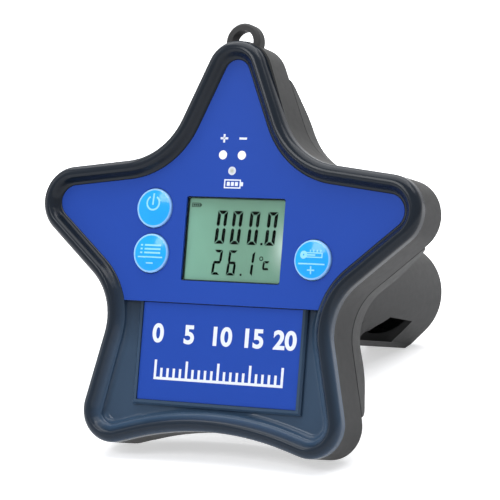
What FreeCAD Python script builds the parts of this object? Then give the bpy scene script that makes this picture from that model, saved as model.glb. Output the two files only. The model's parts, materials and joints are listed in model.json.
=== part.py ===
import FreeCAD, Part
import math
import os

# Star-shaped water meter that stands on the two lower lobes of its face and on the end of the
# sensor tube behind it. Sizes in millimetres, angles in degrees.
#
# Everything is drawn upright in the frame of the face: x to the right, y back into the housing
# from the front of the blue panel, z up the face. The finished pieces are then leaned back onto
# the floor together, with the origin under the middle of the meter.

Vector = FreeCAD.Vector
BACK = Vector(0, 1, 0)

# Star outline, seen from the front
top_tip_height = 70.5
top_tip_radius = 11.6
flank_angle = 23.8
shoulder_hollow_radius = 26.0
arm_reach = 74.9
arm_tip_height = 11.7
arm_tip_radius = 12.8
arm_top_slope = 6.8
arm_under_slope = 40.4
waist_hollow_radius = 21.5
leg_slope = 13.4
lobe_spacing = 39.3
lobe_drop = 74.0
lobe_radius = 11.8
arch_slope = 16.0
arch_radius = 110.0

# Depths of the housing, from the front of the panel
bead_height = 3.5
parting_depth = 2.0
seam_depth = 16.5
cover_rise = 8.4
wall = 2.2
floor_thickness = 2.4
fit_gap = 0.2
slide_gap = 0.3

# How far a cutter reaches past what it cuts
spare = 1.0

# Raised bead round the bezel
bead_width = 6.6
bead_outer_round = 3.0
bead_inner_round = 2.6

# Panels on the face
panel_thickness = 1.0
panel_bottom = -23.1
panel_gap = 0.15
plate_x = 1.0
plate_width = 63.4
plate_rise = 16.1
plate_thickness = 0.8
plate_sink = 0.8
dish_sink = 2.0
dish_round = 2.4
frame_sink = 0.3
frame_width = 1.7
frame_bevel = 0.7

# Display
lcd_x = 3.3
lcd_z = 0.0
lcd_width = 39.2
lcd_height = 30.0
lcd_corner = 0.8
lens_sink = 0.35
lens_ledge = 0.5
lens_seat = 0.8
glass_thickness = 2.0
backlight_thickness = 1.6
holder_wall = 2.4

# Buttons
button_radius = 7.0
button_proud = 0.9
button_travel = 0.5
button_flange = 0.9
button_flange_thickness = 1.2
button_stem_radius = 2.4
button_edge_bevel = 0.4
left_button_x = -29.0
right_button_x = 35.2
power_button_z = 10.3
mode_button_z = -5.9
temp_button_z = -5.9
switch_size = 6.0
switch_height = 1.5
switch_plunger_radius = 1.6
switch_plunger_height = 0.4
press_gap = 0.1

# Charging contacts and charge lamp
contact_x = 0.6
contact_z = 29.9
contact_pitch = 7.5
contact_radius = 1.6
contact_flange_radius = 2.4
contact_flange_thickness = 1.0
contact_tail_radius = 0.6
lamp_x = 1.0
lamp_z = 24.3
lamp_radius = 1.5
lamp_proud = 0.1
lamp_flange_radius = 1.8
lamp_flange_thickness = 1.0
lamp_shoulder = 1.2
lamp_leg_radius = 0.25
lamp_leg_spacing = 2.4
solder_length = 1.0

# Circuit board
board_gap = 4.6
board_thickness = 1.6
board_half_width = 43.0
board_top = 19.5
board_bottom = -22.5
board_neck_half_width = 10.0
board_neck_top = 35.5
board_boss_top_x = 39.5
board_boss_top_z = 15.5
board_boss_bottom_x = 36.5
board_boss_bottom_z = -17.5
board_boss_radius = 3.0
board_screw_radius = 1.1
board_screw_head_radius = 2.2
board_screw_head_height = 1.4
board_screw_grip = 3.6

# Parts on the back of the board
chip_size = 12.0
chip_height = 1.6
chip_bevel = 0.3
crystal_x = -8.0
crystal_z = 12.4
crystal_width = 11.0
crystal_depth = 4.6
crystal_height = 3.2
coil_x = -27.0
coil_z = -9.0
coil_radius = 4.5
coil_height = 4.0
charger_x = 0.6
charger_z = 16.0
charger_width = 6.0
charger_depth = 4.0
charger_height = 1.4
capacitor_x = 20.0
capacitor_z = 8.0
capacitor_pitch = 9.0
capacitor_count = 2
capacitor_radius = 3.1
capacitor_height = 6.5
plug_x = 22.0
plug_z = -13.0
plug_width = 16.0
plug_depth = 6.0
plug_height = 6.0
plug_wall = 1.2

# Screws that hold bezel, housing and rear cover together
cover_screw_radius = 1.5
cover_screw_head_radius = 2.8
cover_screw_head_height = 1.8
cover_screw_socket_radius = 1.3
cover_screw_socket_depth = 0.9
cover_screw_seat = 18.9
cover_screw_bite = 5.0
pillar_radius = 3.8
pillar_split = 12.5
top_screw_z = 45.0
arm_screw_x = 50.0
arm_screw_z = 9.0
leg_screw_x = 37.0
leg_screw_rise = 24.0

# Hanging loop, and the blunt top tip of the housing that carries it
loop_radius = 6.8
loop_hole_radius = 4.3
loop_thickness = 5.0
loop_bevel = 0.7
loop_sink = 0.3
blunt_tip_height = 70.8
blunt_tip_radius = 13.0
blunt_flank_angle = 21.0

# Seals
seal_width = 1.4
seal_depth = 0.8
ledge_thickness = 2.2
ledge_width = 4.0

# Rear dome, its rounded rim and the taper of its sides
dome_radius = 70.0
dome_flat_radius = 45.0
dome_centre_drop = 9.5
dome_rim_round = 4.5
cover_draft = 1.0
seam_bevel = 0.4

# Sensor tube
tube_drop = 6.6
tube_radius = 20.2
tube_wall = 2.6
tube_end = 150.0
neck_radius = 17.8
neck_bore = 15.2
neck_length = 7.4
nut_radius = 22.5
nut_length = 4.4
nut_notch_width = 4.0
nut_notch_depth = 1.6
nut_notch_count = 6
gland_thickness = 1.0
window_start = 110.0
window_end = 131.0
window_top_angle = 36.0
window_slant = 4.5
window_slant_height = 4.0
cap_thickness = 3.0
cap_spigot = 4.0

# Skid under the tube, which ends in the rear foot
skid_half_width = 8.3
skid_bevel = 6.0
skid_thickness = 2.2
skid_start = 92.0
skid_drop = 20.3
skid_fall = 4.4
foot_length = 5.5
web_height = 12.0
web_length = 9.0

# Oxygen electrode and temperature probe in the tube
bulkhead_start = 98.0
bulkhead_thickness = 5.0
electrode_radius = 8.0
electrode_start = 94.0
electrode_flange = 2.0
electrode_flange_thickness = 2.5
electrode_tip = 119.5
membrane_cap_radius = 9.6
membrane_cap_start = 105.5
membrane_cap_end = 121.0
membrane_radius = 5.0
membrane_sink = 0.4
rib_count = 16
rib_radius = 0.7
rib_end_gap = 4.0
probe_radius = 2.0
probe_offset = 13.2
probe_angle = 135.0
probe_start = 95.0
probe_tip = 124.0
probe_tip_bevel = 0.8
ring_section = 1.4

# Rechargeable cell in the tube
cell_radius = 9.2
cell_start = 27.0
cell_length = 65.0
cell_cap_radius = 3.0
cell_cap_height = 1.2
cell_edge_bevel = 0.6
sleeve_wall = 1.6
sleeve_fin_width = 2.0
sleeve_fin_count = 4

# Heights and depths that follow from the sizes above
plate_low = plate_rise - lobe_drop
leg_screw_z = leg_screw_rise - lobe_drop
floor_front = panel_thickness
floor_back = floor_front + floor_thickness
glass_front = floor_front + lens_seat
glass_back = glass_front + glass_thickness
board_front = floor_back + board_gap
board_back = board_front + board_thickness
cover_back = seam_depth + cover_rise
cover_inside = cover_back - wall
tube_axis = -tube_drop
tube_bore = tube_radius - tube_wall
cap_front = tube_end - cap_thickness
ledge_back = parting_depth + ledge_thickness
ledge_front = seam_depth - ledge_thickness


def point(x, z, depth):
    return Vector(x, depth, z)


def disc(x, z, radius, front, back):
    return Part.makeCylinder(radius, back - front, point(x, z, front), BACK)


def block(left, right, low, high, front, back):
    return Part.makeBox(right - left, back - front, high - low, point(left, low, front))


def join(shapes):
    whole = shapes[0]
    for shape in shapes[1:]:
        whole = whole.fuse(shape)
    return whole.removeSplitter()


def tangent_line(x, z, radius, heading):
    # A line that passes a tip circle on its outer side, walking clockwise round the star
    angle = math.radians(heading)
    along = (math.cos(angle), math.sin(angle))
    return (x - along[1] * radius, z + along[0] * radius), along


def crossing(first, second):
    (ax, az), (ux, uz) = first
    (bx, bz), (vx, vz) = second
    turn = ux * vz - uz * vx
    step = ((bx - ax) * vz - (bz - az) * vx) / turn
    return ax + ux * step, az + uz * step


def mirrored(line):
    (x, z), (along_x, along_z) = line
    return (-x, z), (along_x, -along_z)


def star_corners(tip_height=top_tip_height, tip_radius=top_tip_radius, tip_angle=flank_angle):
    # Sharp corners of the star with the radius that rounds each, clockwise from the top
    arm_x = arm_reach - arm_tip_radius
    lobe_z = lobe_radius - lobe_drop
    flank = tangent_line(0, tip_height - tip_radius, tip_radius, tip_angle - 90)
    arm_top = tangent_line(arm_x, arm_tip_height, arm_tip_radius, -arm_top_slope)
    arm_under = tangent_line(arm_x, arm_tip_height, arm_tip_radius, arm_under_slope - 180)
    leg = tangent_line(lobe_spacing, lobe_z, lobe_radius, leg_slope - 90)
    arch = tangent_line(lobe_spacing, lobe_z, lobe_radius, 180 - arch_slope)
    top = crossing(flank, mirrored(flank))
    middle = crossing(arch, mirrored(arch))
    right_side = [
        (crossing(flank, arm_top), shoulder_hollow_radius),
        (crossing(arm_top, arm_under), arm_tip_radius),
        (crossing(arm_under, leg), waist_hollow_radius),
        (crossing(leg, arch), lobe_radius),
    ]
    left_side = [((-x, z), radius) for (x, z), radius in reversed(right_side)]
    return [(top, tip_radius)] + right_side + [(middle, arch_radius)] + left_side


def unit(start, end):
    length = math.hypot(end[0] - start[0], end[1] - start[1])
    return (end[0] - start[0]) / length, (end[1] - start[1]) / length


def rounded_wire(corners, inset, depth):
    # The same outline moved inwards by the inset, each corner rounded by its own arc
    count = len(corners)
    lines = []
    for index in range(count):
        start = corners[index][0]
        along = unit(start, corners[(index + 1) % count][0])
        moved = (start[0] + along[1] * inset, start[1] - along[0] * inset)
        lines.append((moved, along))
    arcs = []
    for index in range(count):
        before = lines[index - 1]
        after = lines[index]
        (in_x, in_z) = before[1]
        (out_x, out_z) = after[1]
        corner = crossing(before, after)
        turn = math.atan2(in_x * out_z - in_z * out_x, in_x * out_x + in_z * out_z)
        radius = corners[index][1] + math.copysign(inset, turn)
        reach = radius * math.tan(abs(turn) / 2)
        towards = unit((0, 0), (out_x - in_x, out_z - in_z))
        centre_step = radius / math.cos(turn / 2)
        middle_step = centre_step - radius
        start = point(corner[0] - in_x * reach, corner[1] - in_z * reach, depth)
        middle = point(corner[0] + towards[0] * middle_step, corner[1] + towards[1] * middle_step, depth)
        end = point(corner[0] + out_x * reach, corner[1] + out_z * reach, depth)
        arcs.append((start, middle, end))
    edges = []
    for index in range(count):
        start, middle, end = arcs[index]
        edges.append(Part.Arc(start, middle, end).toShape())
        edges.append(Part.LineSegment(end, arcs[(index + 1) % count][0]).toShape())
    return Part.Wire(edges)


def star(inset, front, back):
    wire = rounded_wire(star_corners(), inset, front)
    return Part.Face(wire).extrude(BACK * (back - front))


def star_ring(outer_inset, inner_inset, front, back):
    return star(outer_inset, front, back).cut(star(inner_inset, front, back))


def rounded_block(x, z, width, height, corner, front, back):
    shape = block(x - width / 2, x + width / 2, z - height / 2, z + height / 2, front, back)
    edges = [edge for edge in shape.Edges if abs(edge.tangentAt(edge.FirstParameter).y) > 0.9]
    return shape.makeFillet(corner, edges)


def edges_at_depth(shape, depth):
    box_of = [(edge, edge.BoundBox) for edge in shape.Edges]
    return [edge for edge, box in box_of if abs(box.YMin - depth) < 0.01 and abs(box.YMax - depth) < 0.01]


def edges_inside(edges, inset):
    # Tells the inner loop of a ring from the outer one by the distance to the outer outline
    outline = rounded_wire(star_corners(), 0, edges[0].BoundBox.YMin)
    return [edge for edge in edges if edge.distToShape(outline)[0] > inset / 2]


def button_places():
    return {
        "power_button": (left_button_x, power_button_z),
        "mode_button": (left_button_x, mode_button_z),
        "temp_button": (right_button_x, temp_button_z),
    }


def board_boss_places():
    pairs = ((board_boss_top_x, board_boss_top_z), (board_boss_bottom_x, board_boss_bottom_z))
    return [(side * x, z) for side in (-1, 1) for x, z in pairs]


def cover_screw_places():
    pairs = ((arm_screw_x, arm_screw_z), (leg_screw_x, leg_screw_z))
    return [(0, top_screw_z)] + [(side * x, z) for side in (-1, 1) for x, z in pairs]


def contact_places():
    return [(contact_x + side * contact_pitch / 2, contact_z) for side in (-1, 1)]


def lamp_leg_places():
    return [(lamp_x + side * lamp_leg_spacing / 2, lamp_z) for side in (-1, 1)]


def bezel_floor():
    # Flat under the main panel. Below it a bowl holds the plate, and its rim rises to the bead in
    # a hollow round.
    rim = dish_sink - dish_round
    below = block(-arm_reach, arm_reach, -lobe_drop, panel_bottom, rim - spare, floor_back)
    bowl = star(bead_width, rim - spare, dish_sink)
    bowl = bowl.makeFillet(dish_round, edges_at_depth(bowl, dish_sink))
    lower = star(bead_width, rim, floor_back).cut(bowl).common(below)
    upper = star(bead_width, floor_front, floor_back).cut(below)
    return upper.fuse(lower)


def front_bezel():
    ring = star_ring(0, bead_width, -bead_height, parting_depth)
    front_edges = edges_at_depth(ring, -bead_height)
    inner_edges = edges_inside(front_edges, bead_width)
    outer_edges = [edge for edge in front_edges if not any(edge.isSame(other) for other in inner_edges)]
    ring = ring.makeFillet(bead_outer_round, outer_edges)
    front_edges = edges_at_depth(ring, -bead_height)
    ring = ring.makeFillet(bead_inner_round, edges_inside(front_edges, bead_width * 1.2))
    frame_left = plate_x - plate_width / 2
    frame_right = plate_x + plate_width / 2
    frame = block(frame_left - frame_width, frame_right + frame_width, plate_low - frame_width,
                  panel_bottom, frame_sink, floor_back)
    rims = [edge for edge in edges_at_depth(frame, frame_sink) if edge.BoundBox.ZMin < panel_bottom - 1]
    frame = frame.makeChamfer(frame_bevel, rims)
    recess = block(frame_left, frame_right, plate_low, panel_bottom, -spare, plate_sink + plate_thickness)
    bosses = [disc(x, z, board_boss_radius, floor_back, board_front) for x, z in board_boss_places()]
    pillars = [disc(x, z, pillar_radius, floor_back, pillar_split) for x, z in cover_screw_places()]
    whole = join([ring, bezel_floor(), frame] + bosses + pillars).cut(recess)
    view_width = lcd_width - 2 * lens_ledge
    view_height = lcd_height - 2 * lens_ledge
    cuts = [rounded_block(lcd_x, lcd_z, view_width, view_height, lcd_corner, 0, floor_back + spare)]
    pocket_half_width = lcd_width / 2 + fit_gap
    pocket_half_height = lcd_height / 2 + fit_gap
    cuts.append(block(lcd_x - pocket_half_width, lcd_x + pocket_half_width, lcd_z - pocket_half_height,
                      lcd_z + pocket_half_height, glass_front, floor_back + spare))
    for x, z in button_places().values():
        cuts.append(disc(x, z, button_radius + slide_gap, 0, floor_back + spare))
    for x, z in contact_places():
        cuts.append(disc(x, z, contact_radius, 0, floor_back + spare))
    cuts.append(disc(lamp_x, lamp_z, lamp_radius, 0, floor_back + spare))
    for x, z in board_boss_places():
        cuts.append(disc(x, z, board_screw_radius, board_front - board_screw_grip, board_front + spare))
    for x, z in cover_screw_places():
        cuts.append(disc(x, z, cover_screw_radius, pillar_split - cover_screw_bite, pillar_split + spare))
    return whole.cut(cuts)


def main_panel():
    outline = star(bead_width + panel_gap, 0, panel_thickness)
    front = -spare
    back = panel_thickness + spare
    lower = block(-arm_reach, arm_reach, -lobe_drop, panel_bottom + panel_gap, front, back)
    cuts = [lower, rounded_block(lcd_x, lcd_z, lcd_width, lcd_height, lcd_corner, front, back)]
    for x, z in button_places().values():
        cuts.append(disc(x, z, button_radius + slide_gap, front, back))
    for x, z in contact_places():
        cuts.append(disc(x, z, contact_radius, front, back))
    cuts.append(disc(lamp_x, lamp_z, lamp_radius, front, back))
    return outline.cut(cuts)


def name_plate():
    left = plate_x - plate_width / 2 + panel_gap
    right = plate_x + plate_width / 2 - panel_gap
    low = plate_low + panel_gap
    return block(left, right, low, panel_bottom - panel_gap, plate_sink, plate_sink + plate_thickness)


def lcd_lens():
    width = lcd_width - 2 * panel_gap
    height = lcd_height - 2 * panel_gap
    return rounded_block(lcd_x, lcd_z, width, height, lcd_corner, lens_sink, panel_thickness)


def lcd_glass():
    return block(lcd_x - lcd_width / 2, lcd_x + lcd_width / 2, lcd_z - lcd_height / 2,
                 lcd_z + lcd_height / 2, glass_front, glass_back)


def backlight_panel():
    half_width = lcd_width / 2
    half_height = lcd_height / 2 - holder_wall
    return block(lcd_x - half_width, lcd_x + half_width, lcd_z - half_height, lcd_z + half_height,
                 glass_back, glass_back + backlight_thickness)


def lcd_holder():
    half_width = lcd_width / 2 + holder_wall
    half_height = lcd_height / 2 + holder_wall
    outer = block(lcd_x - half_width, lcd_x + half_width, lcd_z - half_height, lcd_z + half_height,
                  floor_back, board_front)
    pocket = block(lcd_x - half_width + holder_wall, lcd_x + half_width - holder_wall,
                   lcd_z - half_height + holder_wall, lcd_z + half_height - holder_wall,
                   floor_back, board_front)
    return outer.cut(pocket)


def contact_strips():
    # Two rubber strips that join the display's edges to the board
    strips = []
    for side in (-1, 1):
        outer = lcd_z + side * lcd_height / 2
        inner = outer - side * (holder_wall - fit_gap)
        strips.append(block(lcd_x - lcd_width / 2, lcd_x + lcd_width / 2, min(inner, outer),
                            max(inner, outer), glass_back, board_front))
    return Part.makeCompound(strips)


def push_button(x, z):
    cap = disc(x, z, button_radius, -button_proud, floor_back)
    cap = cap.makeChamfer(button_edge_bevel, edges_at_depth(cap, -button_proud))
    flange_back = floor_back + button_flange_thickness
    flange = disc(x, z, button_radius + button_flange, floor_back, flange_back)
    stem_end = board_front - switch_height - switch_plunger_height - button_travel - press_gap
    stem = disc(x, z, button_stem_radius, flange_back, stem_end)
    return join([cap, flange, stem])


def key_switches():
    switches = []
    for x, z in button_places().values():
        half = switch_size / 2
        body_front = board_front - switch_height
        body = block(x - half, x + half, z - half, z + half, body_front, board_front)
        plunger = disc(x, z, switch_plunger_radius, body_front - switch_plunger_height, body_front)
        switches.append(join([body, plunger]))
    return Part.makeCompound(switches)


def charge_contacts():
    pins = []
    for x, z in contact_places():
        head = disc(x, z, contact_radius, 0, floor_back)
        flange_back = floor_back + contact_flange_thickness
        flange = disc(x, z, contact_flange_radius, floor_back, flange_back)
        tail = disc(x, z, contact_tail_radius, flange_back, board_back + solder_length)
        pins.append(join([head, flange, tail]))
    return Part.makeCompound(pins)


def charge_lamp():
    flange_front = floor_back + lamp_shoulder
    flange_back = flange_front + lamp_flange_thickness
    body = disc(lamp_x, lamp_z, lamp_radius, -lamp_proud, flange_front)
    flange = disc(lamp_x, lamp_z, lamp_flange_radius, flange_front, flange_back)
    legs = []
    for x, z in lamp_leg_places():
        legs.append(disc(x, z, lamp_leg_radius, flange_back, board_back + solder_length))
    return join([body, flange] + legs)


def main_board():
    plate = block(-board_half_width, board_half_width, board_bottom, board_top, board_front, board_back)
    neck = block(contact_x - board_neck_half_width, contact_x + board_neck_half_width, board_top,
                 board_neck_top, board_front, board_back)
    cuts = []
    for x, z in board_boss_places():
        cuts.append(disc(x, z, board_screw_radius, board_front, board_back))
    for x, z in contact_places():
        cuts.append(disc(x, z, contact_tail_radius, board_front, board_back))
    for x, z in lamp_leg_places():
        cuts.append(disc(x, z, lamp_leg_radius, board_front, board_back))
    return join([plate, neck]).cut(cuts)


def board_screws():
    screws = []
    for x, z in board_boss_places():
        head = disc(x, z, board_screw_head_radius, board_back, board_back + board_screw_head_height)
        shank = disc(x, z, board_screw_radius, board_front - board_screw_grip + fit_gap, board_back)
        screws.append(join([head, shank]))
    return Part.makeCompound(screws)


def on_board(x, z, width, height, thickness):
    back = board_back + thickness
    return block(x - width / 2, x + width / 2, z - height / 2, z + height / 2, board_back, back)


def controller_chip():
    body = on_board(0, 0, chip_size, chip_size, chip_height)
    return body.makeChamfer(chip_bevel, edges_at_depth(body, board_back + chip_height))


def board_parts():
    # Crystal, coil, charger chip, capacitors and the plug for the sensors
    crystal = on_board(crystal_x, crystal_z, crystal_width, crystal_depth, crystal_height)
    coil = disc(coil_x, coil_z, coil_radius, board_back, board_back + coil_height)
    charger = on_board(charger_x, charger_z, charger_width, charger_depth, charger_height)
    capacitors = []
    for step in range(capacitor_count):
        x = capacitor_x + capacitor_pitch * step
        capacitors.append(disc(x, capacitor_z, capacitor_radius, board_back, board_back + capacitor_height))
    sensor_plug = on_board(plug_x, plug_z, plug_width, plug_depth, plug_height)
    slot = on_board(plug_x, plug_z, plug_width - 2 * plug_wall, plug_depth - 2 * plug_wall, plug_height)
    slot.translate(BACK * plug_wall)
    return Part.makeCompound([crystal, coil, charger] + capacitors + [sensor_plug.cut(slot)])


def dome(shrink, depth):
    # Rounded back, turned about an axis a little below the middle of the star. In profile the rim
    # is a round, and a gentle slope runs from it up to the flat middle.
    rim_x = dome_radius - dome_rim_round
    span = rim_x - dome_flat_radius
    slope = math.atan2(cover_rise, span) - math.asin(dome_rim_round / math.hypot(span, cover_rise))
    radius = dome_rim_round - shrink

    def on_rim(angle):
        return Vector(rim_x + radius * math.sin(angle), depth + radius * math.cos(angle), 0)

    corner = on_rim(math.pi / 2)
    slope_start = on_rim(slope)
    slope_end = Vector(dome_flat_radius - shrink * math.tan(slope / 2), depth + cover_rise - shrink, 0)
    top = Vector(0, slope_end.y, 0)
    base = Vector(0, depth, 0)
    rim = Part.Arc(corner, on_rim((math.pi / 2 + slope) / 2), slope_start).toShape()
    wire = Part.Wire([rim] + Part.makePolygon([slope_start, slope_end, top, base, corner]).Edges)
    solid = Part.Face(wire).revolve(Vector(0, 0, 0), BACK, 360)
    solid.translate(Vector(0, 0, -dome_centre_drop))
    return solid


def inside_dome(inset, shrink, front, back):
    # Star outline clipped by the circle that the dome stands on
    circle = disc(0, -dome_centre_drop, dome_radius - shrink, front, back)
    return star(inset, front, back).common(circle)


def hanging_loop():
    back = parting_depth + loop_thickness
    middle = blunt_tip_height - loop_sink
    ring = disc(0, middle, loop_radius, parting_depth, back)
    rims = edges_at_depth(ring, parting_depth) + edges_at_depth(ring, back)
    ring = ring.makeChamfer(loop_bevel, rims)
    return ring.cut(disc(0, middle, loop_hole_radius, parting_depth - spare, back + spare))


def housing_loft(inset, front, back):
    # The top tip is blunter than the bezel's at the front and draws in to it at the back
    blunt = star_corners(blunt_tip_height, blunt_tip_radius, blunt_flank_angle)
    wires = [rounded_wire(blunt, inset, front), rounded_wire(star_corners(), inset, back)]
    return Part.makeLoft(wires, True, True)


def mid_housing():
    walls = housing_loft(0, parting_depth, seam_depth)
    walls = walls.makeChamfer(seam_bevel, edges_at_depth(walls, seam_depth))
    cavity = housing_loft(wall, ledge_back, ledge_front)
    front_opening = star(bead_width - fit_gap, parting_depth - spare, ledge_back + spare)
    ledge = wall + ledge_width
    back_opening = inside_dome(ledge, ledge, ledge_front - spare, seam_depth + spare)
    shell = walls.fuse(hanging_loop()).cut(cavity).cut(front_opening).cut(back_opening)
    return shell.cut(front_seal_ring(parting_depth - spare)).cut(cover_seal_ring(seam_depth + spare))


def front_seal_ring(front):
    middle = (wall + bead_width) / 2
    return star_ring(middle - seal_width / 2, middle + seal_width / 2, front, parting_depth + seal_depth)


def cover_seal_ring(back):
    outer_inset = wall + fit_gap
    inner_inset = outer_inset + seal_width
    front = seam_depth - seal_depth
    outer = inside_dome(outer_inset, outer_inset, front, back)
    return outer.cut(inside_dome(inner_inset, inner_inset, front - spare, back + spare))


def front_seal():
    return front_seal_ring(parting_depth)


def cover_seal():
    return cover_seal_ring(seam_depth)


def cover_block():
    # Tapers towards the back, with a bevel that makes a groove with the housing's at the seam
    wires = [rounded_wire(star_corners(), inset, depth)
             for inset, depth in ((0, seam_depth), (cover_draft, cover_back))]
    solid = Part.makeLoft(wires, True, True)
    return solid.makeChamfer(seam_bevel, edges_at_depth(solid, seam_depth))


def rear_cover():
    outer = cover_block().common(dome(0, seam_depth))
    inner = star(wall + ledge_width, seam_depth - spare, cover_inside).common(dome(wall, seam_depth))
    lip_outer = wall + ledge_width + fit_gap
    lip_inner = lip_outer + wall / 2
    lip = inside_dome(lip_outer, lip_outer, ledge_front, seam_depth + fit_gap)
    lip = lip.cut(inside_dome(lip_inner, lip_inner, ledge_front - spare, seam_depth + spare))
    pillars = []
    for x, z in cover_screw_places():
        post = disc(x, z, pillar_radius, pillar_split, seam_depth + fit_gap)
        pillars.append(post.fuse(disc(x, z, pillar_radius, seam_depth, cover_back).common(outer)))
    shell = join([outer.cut(inner), lip] + pillars)
    cuts = [disc(0, tube_axis, neck_radius + fit_gap / 2, cover_inside - spare, cover_back + spare)]
    for x, z in cover_screw_places():
        shank_hole = cover_screw_radius + fit_gap / 2
        cuts.append(disc(x, z, shank_hole, pillar_split - spare, cover_screw_seat + spare))
        cuts.append(disc(x, z, cover_screw_head_radius + fit_gap, cover_screw_seat, cover_back + spare))
    return shell.cut(cuts)


def cover_screws():
    screws = []
    for x, z in cover_screw_places():
        head_back = cover_screw_seat + cover_screw_head_height
        head = disc(x, z, cover_screw_head_radius, cover_screw_seat, head_back)
        socket = disc(x, z, cover_screw_socket_radius, head_back - cover_screw_socket_depth, head_back)
        shank = disc(x, z, cover_screw_radius, pillar_split - cover_screw_bite + fit_gap, cover_screw_seat)
        screws.append(join([head, shank]).cut(socket))
    return Part.makeCompound(screws)


def skid_bottom(depth):
    # How far the underside of the skid lies below the tube's axis: flat on the floor under the
    # foot, then falling gently towards the face
    foot_front = tube_end - foot_length
    drop_at_foot = skid_drop + foot_length * math.tan(math.radians(lean_angle()))
    if depth > foot_front:
        return skid_drop + (tube_end - depth) * math.tan(math.radians(lean_angle()))
    return drop_at_foot + (foot_front - depth) * math.tan(math.radians(skid_fall / 2))


def lean_angle():
    # The floor touches the lobes at the seam edge and the foot at the tube's end
    rise = (tube_axis - skid_drop) + lobe_drop
    return math.degrees(math.atan2(rise, tube_end - seam_depth))


def skid_profile(front, back, thickness):
    # Side view of the skid between two depths, from its underside up by the thickness
    stops = [front, back]
    foot_front = tube_end - foot_length
    if front < foot_front < back:
        stops = [front, foot_front, back]
    low = [point(0, tube_axis - skid_bottom(depth), depth) for depth in stops]
    high = [corner + Vector(0, 0, thickness) for corner in reversed(low)]
    return Part.Wire(Part.makePolygon(low + high + low[:1]).Edges)


def skid_piece(front, back, thickness, half_width):
    wire = skid_profile(front, back, thickness)
    solid = Part.Face(wire).extrude(Vector(2 * half_width, 0, 0))
    solid.translate(Vector(-half_width, 0, 0))
    return solid


def skid_web(front, back):
    # Fills the space between the skid and the tube, spreading upwards at a slant
    wire = skid_profile(front, back, web_height)
    half_top = skid_half_width + skid_bevel
    solid = Part.Face(wire).extrude(Vector(2 * half_top, 0, 0))
    solid.translate(Vector(-half_top, 0, 0))
    for side in (-1, 1):
        low = tube_axis - skid_drop - tube_radius
        middle = tube_axis - skid_drop
        high = middle + skid_bevel
        far = side * (half_top + tube_radius)
        corners = [Vector(side * skid_half_width, 0, low), Vector(side * skid_half_width, 0, middle),
                   Vector(side * half_top, 0, high), Vector(far, 0, high), Vector(far, 0, low)]
        bevel = Part.Face(Part.makePolygon(corners + corners[:1])).extrude(BACK * tube_end * 2)
        solid = solid.cut(bevel)
    return solid


def window_cutter():
    # Sector below the tube's middle with its edges square to the axis, apart from the front edge,
    # which slants forwards on its way down
    window_low = window_start - window_slant
    reach = tube_radius + spare
    angle = math.radians(window_top_angle)
    across = reach * math.cos(angle)
    down = reach * math.sin(angle)
    start = Vector(-across, window_low, tube_axis - down)
    end = Vector(across, window_low, tube_axis - down)
    bottom = Vector(0, window_low, tube_axis - reach)
    arc = Part.Arc(start, bottom, end).toShape()
    centre = Vector(0, window_low, tube_axis)
    sides = [Part.LineSegment(end, centre).toShape(), Part.LineSegment(centre, start).toShape()]
    wire = Part.Wire([arc] + sides)
    sector = Part.Face(wire).extrude(BACK * (window_end - window_low))
    edge_top = tube_axis - tube_radius * math.sin(angle)
    edge_low = edge_top - window_slant_height
    corners = [Vector(-reach, window_low, tube_axis), Vector(-reach, window_start, tube_axis),
               Vector(-reach, window_start, edge_top), Vector(-reach, window_low, edge_low)]
    wedge = Part.Face(Part.makePolygon(corners + corners[:1])).extrude(Vector(2 * reach, 0, 0))
    return sector.cut(wedge)


def sensor_guard():
    tube = disc(0, tube_axis, tube_radius, cover_back + gland_thickness, cap_front)
    neck = disc(0, tube_axis, neck_radius, cover_back - neck_length, cover_back + gland_thickness + spare)
    webs = [skid_web(skid_start, skid_start + web_length), skid_web(window_end, cap_front)]
    body = join([tube, neck] + webs)
    bore_front = cover_back + gland_thickness + tube_wall
    bore = disc(0, tube_axis, tube_bore, bore_front, cap_front + spare)
    neck_hole = disc(0, tube_axis, neck_bore, cover_back - neck_length - spare, bore_front + spare)
    body = body.cut([bore, neck_hole, window_cutter()])
    skid = skid_piece(skid_start, cap_front, skid_thickness, skid_half_width)
    return join([body, skid])


def guard_seal():
    back = cover_back + gland_thickness
    ring = disc(0, tube_axis, tube_radius - fit_gap, cover_back, back)
    return ring.cut(disc(0, tube_axis, neck_radius, cover_back - spare, back + spare))


def guard_nut():
    front = cover_inside - nut_length
    ring = disc(0, tube_axis, nut_radius, front, cover_inside)
    cuts = [disc(0, tube_axis, neck_radius, front - spare, cover_inside + spare)]
    for step in range(nut_notch_count):
        notch = block(-nut_notch_width / 2, nut_notch_width / 2, nut_radius - nut_notch_depth,
                      nut_radius + spare, front - spare, cover_inside + spare)
        notch.translate(Vector(0, 0, tube_axis))
        notch.rotate(point(0, tube_axis, 0), BACK, 360 * step / nut_notch_count)
        cuts.append(notch)
    return ring.cut(cuts)


def guard_end_cap():
    plate = disc(0, tube_axis, tube_radius, cap_front, tube_end)
    web = skid_web(cap_front, tube_end)
    plate = join([plate, web.cut(block(-tube_radius, tube_radius, tube_axis, 0, 0, tube_end + spare))])
    spigot = disc(0, tube_axis, tube_bore - fit_gap / 2, cap_front - cap_spigot, cap_front)
    hollow = disc(0, tube_axis, tube_bore - tube_wall, cap_front - cap_spigot - spare, cap_front)
    return join([plate, spigot.cut(hollow)])


def around_tube(radius, angle):
    turn = math.radians(angle)
    return radius * math.cos(turn), tube_axis + radius * math.sin(turn)


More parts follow.
